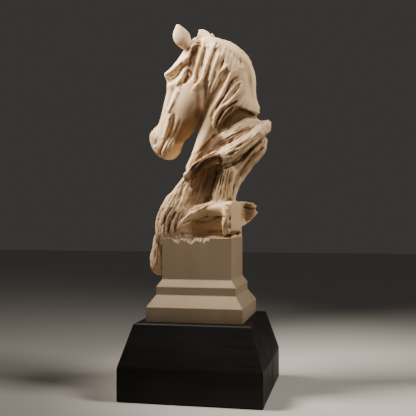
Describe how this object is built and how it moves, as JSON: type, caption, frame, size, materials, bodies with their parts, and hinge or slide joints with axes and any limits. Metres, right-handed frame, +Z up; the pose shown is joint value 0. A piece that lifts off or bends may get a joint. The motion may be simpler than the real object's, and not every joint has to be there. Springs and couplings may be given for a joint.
{
  "type": "horse head sculpture",
  "caption": "Carved wooden horse head rising from a broken square block on a moulded plinth, set on a dark wooden base with sloping sides.",
  "frame": {"origin": "middle of the underside of the dark base", "axes": "+Z up, -Y out of the plinth's front face, +X out of the face that the broken wall stands on"},
  "size_m": [0.147, 0.147, 0.3919],
  "materials": {
    "pale_boxwood": "smooth, cut with chisels, waxed",
    "ebonised_wood": "satin, stained black"
  },
  "bodies": {
    "root": {"carved_horse_and_plinth": "pale_boxwood", "dark_base": "ebonised_wood"}
  },
  "joints": []
}
